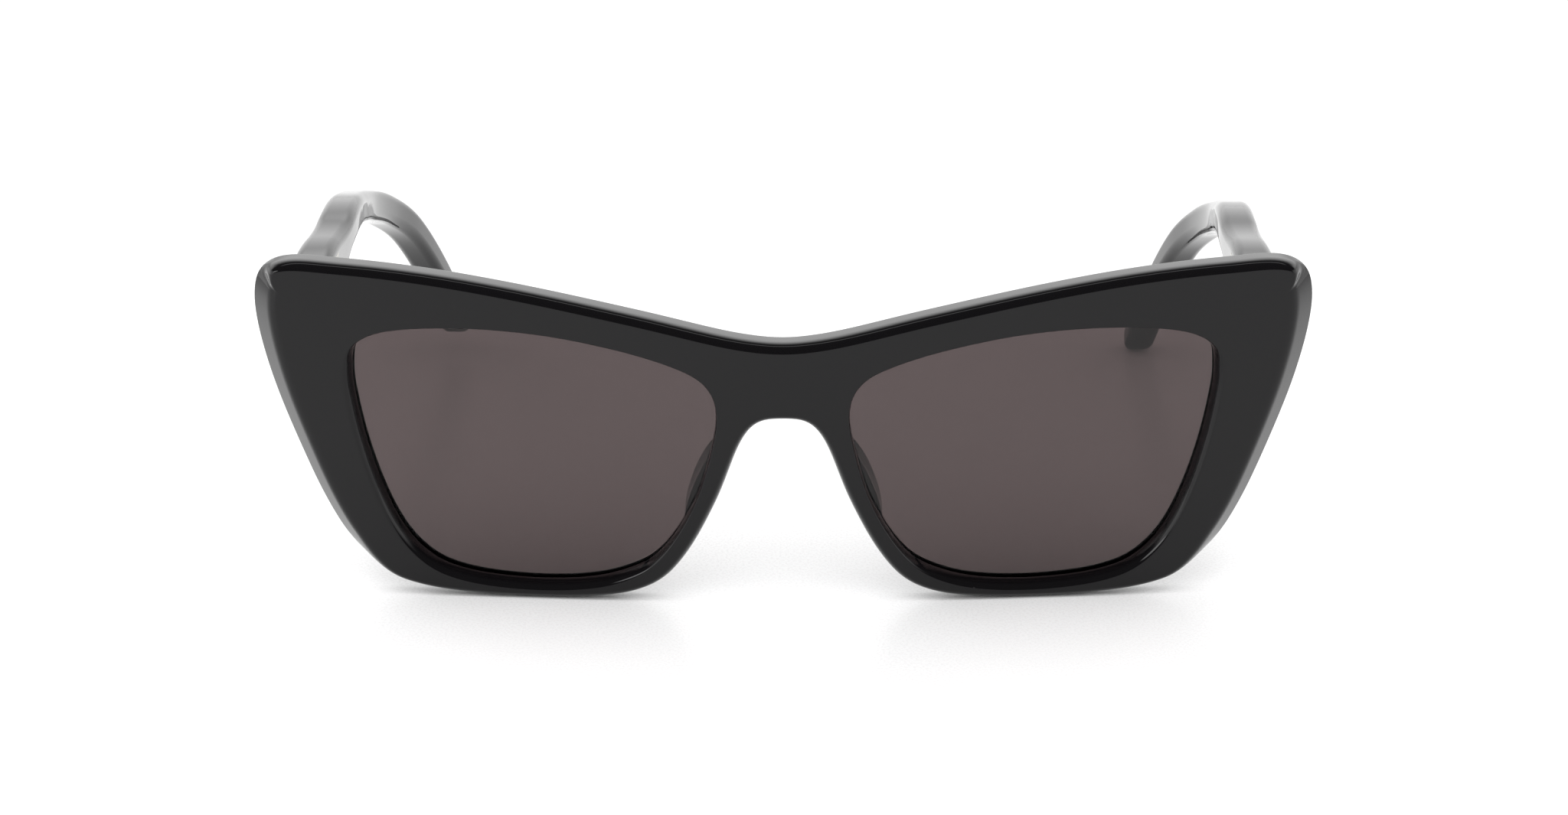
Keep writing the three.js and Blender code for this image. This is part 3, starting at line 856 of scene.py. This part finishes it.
def as_it_rests(side):
    """Turns a square-drawn right temple to where it rests, in metres."""
    pin = Matrix.Translation(Vector((PIN.x, PIN.y, 0)))
    move = pin @ Matrix.Rotation(-SPLAY[side], 4, "Z") @ pin.inverted()
    if side == "left":
        centre = Matrix.Translation(Vector((0, PIN.y, PIN.z)))
        move = Matrix.Diagonal((-1, 1, 1, 1)) @ move
        move = centre @ Matrix.Rotation(LEFT_LIFT, 4, "X") @ centre.inverted() @ move
    return Matrix.Translation(ORIGIN) @ Matrix.Scale(MM, 4) @ move


# %% Build the temples
def build_temple(side):
    bm = bmesh.new()
    for rim in loft(bm, temple_rings()):
        bmesh.ops.triangle_fill(bm, edges=rim, use_beauty=True)
    face_out(bm)
    bmesh.ops.transform(bm, matrix=as_it_rests(side), verts=bm.verts)
    sign = 1 if side == "right" else -1
    across, height = BUTT_AT
    back_point = on_front(sign * across, FRONT_T + BUTT_GAP, height)
    back_normal = on_front(sign * across, FRONT_T + 1 + BUTT_GAP, height) - back_point
    everything = bm.verts[:] + bm.edges[:] + bm.faces[:]
    bmesh.ops.bisect_plane(bm, geom=everything, dist=1e-7, plane_co=back_point,
                           plane_no=back_normal, clear_inner=True)
    rim = [e for e in bm.edges if e.is_boundary]
    cap = bmesh.ops.contextual_create(bm, geom=rim)["faces"]
    rim = list(cap[0].edges)
    bmesh.ops.bevel(bm, geom=rim, affect="EDGES", offset=BUTT_EASE, segments=3, profile=0.5, material=-1)
    bmesh.ops.recalc_face_normals(bm, faces=bm.faces)
    crease(bm, 55)
    temple = new_object(bm, "acetate_temple_" + side, acetate_polished)
    weigh_normals(temple)
    seat(temple, "temple_" + side, "acetate_black", "temple_" + side)


build_temple("right")
build_temple("left")

# %% [markdown]
# ## Hinges
#
# Two nickel silver leaves interlock round one slotted screw: three knuckles on the front
# and two on the temple. Boolean cuts would leave ragged bores, so each knuckle is one
# small section spun round the pin, and the plates and webs are boxes with eased edges.

# %% Hinge sizes
KNUCKLE_R = 1.45
BORE_R = 0.62
KNUCKLE_H = 1.58
KNUCKLE_PITCH = 1.7
KNUCKLE_FOOT = 37.81
SCREW_R = 0.55
HEAD_R = 1.15
HEAD_SEAT = 46.25
HEAD_TOP = 47.1
SLOT_HALF = 0.17
SLOT_DEPTH = 0.42
SLOT_TURN = math.radians(35)
HEAD_EASE = 0.15
KNUCKLE_EASE = 0.1
SPIN_STEPS = 48
PLATE_T = 1.0
PLATE_PROUD = 0.05
PLATE_EASE = 0.04
WEB_EASE = 0.08
WEB_CLEAR = 0.1
FRONT_PLATE_ACROSS = (60.1, 66.4)
FRONT_PLATE_UP = (37.2, 46.0)
FRONT_WEB_X = (59.5, 61.1)
FRONT_WEB_Y = 4.2
TEMPLE_PLATE_Y = (9.4, 19.5)
TEMPLE_PLATE_Z = (38.6, 45.4)
TEMPLE_WEB_X = 62.2
TEMPLE_WEB_Y = (9.0, 10.1)
TEMPLE_INNER_X = 64.4 - TEMPLE_T / 2


# %% Shared hinge shapes
def add_box(bm, low, high, ease):
    """A box between two corners, with its edges eased."""
    low, high = Vector(low), Vector(high)
    place = Matrix.Translation((low + high) / 2) @ Matrix.Diagonal((*(high - low), 1))
    corners = bmesh.ops.create_cube(bm, size=1.0, matrix=place)["verts"]
    edges = list(dict.fromkeys(e for corner in corners for e in corner.link_edges))
    bmesh.ops.bevel(bm, geom=edges, affect="EDGES", offset=ease, segments=2, profile=0.5, material=-1)


def spin_section(bm, section, closed):
    """Spins a section, given as radius and height, once round the pin."""
    corners = [bmesh.ops.create_vert(bm, co=(PIN.x + r, PIN.y, z))["vert"][0] for r, z in section]
    pairs = list(zip(corners, corners[1:] + corners[:1]))
    edges = [bm.edges.new(pair) for pair in (pairs if closed else pairs[:-1])]
    bmesh.ops.spin(bm, geom=corners + edges, cent=(PIN.x, PIN.y, 0), axis=(0, 0, 1),
                   angle=2 * math.pi, steps=SPIN_STEPS, use_merge=True)
    bmesh.ops.remove_doubles(bm, verts=bm.verts, dist=1e-5)


def add_knuckle(bm, place):
    foot = KNUCKLE_FOOT + KNUCKLE_PITCH * place
    top = foot + KNUCKLE_H
    ease = KNUCKLE_EASE
    section = [(BORE_R, foot), (KNUCKLE_R - ease, foot), (KNUCKLE_R, foot + ease),
               (KNUCKLE_R, top - ease), (KNUCKLE_R - ease, top), (BORE_R, top)]
    spin_section(bm, section, True)
    return foot, top


def join(bm, other):
    """Copies the other bmesh into the first one."""
    carrier = bpy.data.meshes.new("carrier")
    other.to_mesh(carrier)
    other.free()
    bm.from_mesh(carrier)
    bpy.data.meshes.remove(carrier)


def front_place(side):
    flip = Matrix.Diagonal((1 if side == "right" else -1, 1, 1, 1))
    return Matrix.Translation(ORIGIN) @ Matrix.Scale(MM, 4) @ flip


def finish_metal(bm, name, material, body):
    bmesh.ops.recalc_face_normals(bm, faces=bm.faces)
    crease(bm, 35)
    piece = new_object(bm, name.replace("hinge", "metal"), material)
    seat(piece, body, "hinge_steel", name)


# %% Front leaves
def build_front_leaf(side):
    sign = 1 if side == "right" else -1
    plate = bmesh.new()
    near, far = sorted(sign * u for u in FRONT_PLATE_ACROSS)
    low, high = FRONT_PLATE_UP
    add_box(plate, (near, FRONT_T - PLATE_T, low), (far, FRONT_T + PLATE_PROUD, high), PLATE_EASE)
    stand_on_front(plate)
    bm = bmesh.new()
    near, far = FRONT_WEB_X
    for place in (0, 2, 4):
        foot, top = add_knuckle(bm, place)
        add_box(bm, (near, FRONT_WEB_Y, foot), (far, PIN.y - BORE_R - WEB_CLEAR, top), WEB_EASE)
    bmesh.ops.transform(bm, matrix=front_place(side), verts=bm.verts)
    join(bm, plate)
    finish_metal(bm, "hinge_front_leaf_" + side, hinge_metal, "front")


# %% Temple leaves
def build_temple_leaf(side):
    bm = bmesh.new()
    start, end = TEMPLE_PLATE_Y
    low, high = TEMPLE_PLATE_Z
    near, far = TEMPLE_INNER_X - PLATE_PROUD, TEMPLE_INNER_X + PLATE_T
    add_box(bm, (near, start, low), (far, end, high), PLATE_EASE)
    start, end = TEMPLE_WEB_Y
    for place in (1, 3):
        foot, top = add_knuckle(bm, place)
        add_box(bm, (PIN.x + BORE_R + WEB_CLEAR, start, foot), (TEMPLE_WEB_X, end, top), WEB_EASE)
    bmesh.ops.transform(bm, matrix=as_it_rests(side), verts=bm.verts)
    finish_metal(bm, "hinge_temple_leaf_" + side, hinge_metal, "temple_" + side)


# %% Screws
def cut_slot(bm):
    """Cuts a driver slot right across the head, with two walls and a floor."""
    across = Vector((-math.sin(SLOT_TURN), math.cos(SLOT_TURN), 0))
    middle = Vector((PIN.x, PIN.y, HEAD_TOP - SLOT_DEPTH))
    cuts = [(middle + across * SLOT_HALF, across), (middle - across * SLOT_HALF, across),
            (middle, Vector((0, 0, 1)))]
    for point, normal in cuts:
        everything = bm.verts[:] + bm.edges[:] + bm.faces[:]
        bmesh.ops.bisect_plane(bm, geom=everything, dist=1e-6, plane_co=point, plane_no=normal)
    inside = []
    for face in bm.faces:
        offset = face.calc_center_median() - middle
        if offset.z > 0 and abs(offset.dot(across)) < SLOT_HALF:
            inside.append(face)
    bmesh.ops.delete(bm, geom=inside, context="FACES")
    rim = [e for e in bm.edges if e.is_boundary]
    floor = [e for e in rim if all(abs(v.co.z - middle.z) < 1e-4 for v in e.verts)]
    for shift in (SLOT_HALF, -SLOT_HALF):
        wall = [e for e in rim if all(abs((v.co - middle).dot(across) - shift) < 1e-4 for v in e.verts)]
        ends = sorted(dict.fromkeys(v for e in wall for v in e.verts), key=lambda v: round(v.co.z, 4))
        base = bm.edges.new(ends[:2])
        bmesh.ops.contextual_create(bm, geom=wall + [base])
        floor.append(base)
    bmesh.ops.contextual_create(bm, geom=floor)


def build_screw(side):
    bm = bmesh.new()
    section = [(0, SCREW_FOOT), (SCREW_R, SCREW_FOOT), (SCREW_R, HEAD_SEAT), (HEAD_R, HEAD_SEAT),
               (HEAD_R, HEAD_TOP - HEAD_EASE), (HEAD_R - HEAD_EASE, HEAD_TOP), (0, HEAD_TOP)]
    spin_section(bm, section, False)
    cut_slot(bm)
    bmesh.ops.transform(bm, matrix=front_place(side), verts=bm.verts)
    finish_metal(bm, "hinge_screw_" + side, screw_metal, "front")


for side in ("right", "left"):
    build_front_leaf(side)
    build_temple_leaf(side)
    build_screw(side)

# %% [markdown]
# ## Core wires
#
# A flat wire stiffens each temple. It could be lofted along the middle line too, but the
# black acetate hides the whole of it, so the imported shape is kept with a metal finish.

# %% Wire finish
for side in ("right", "left"):
    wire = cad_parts["core_wire_" + side]
    wire.data.materials.clear()
    wire.data.materials.append(wire_metal)
    print(wire.name, "keeps its packed shape")
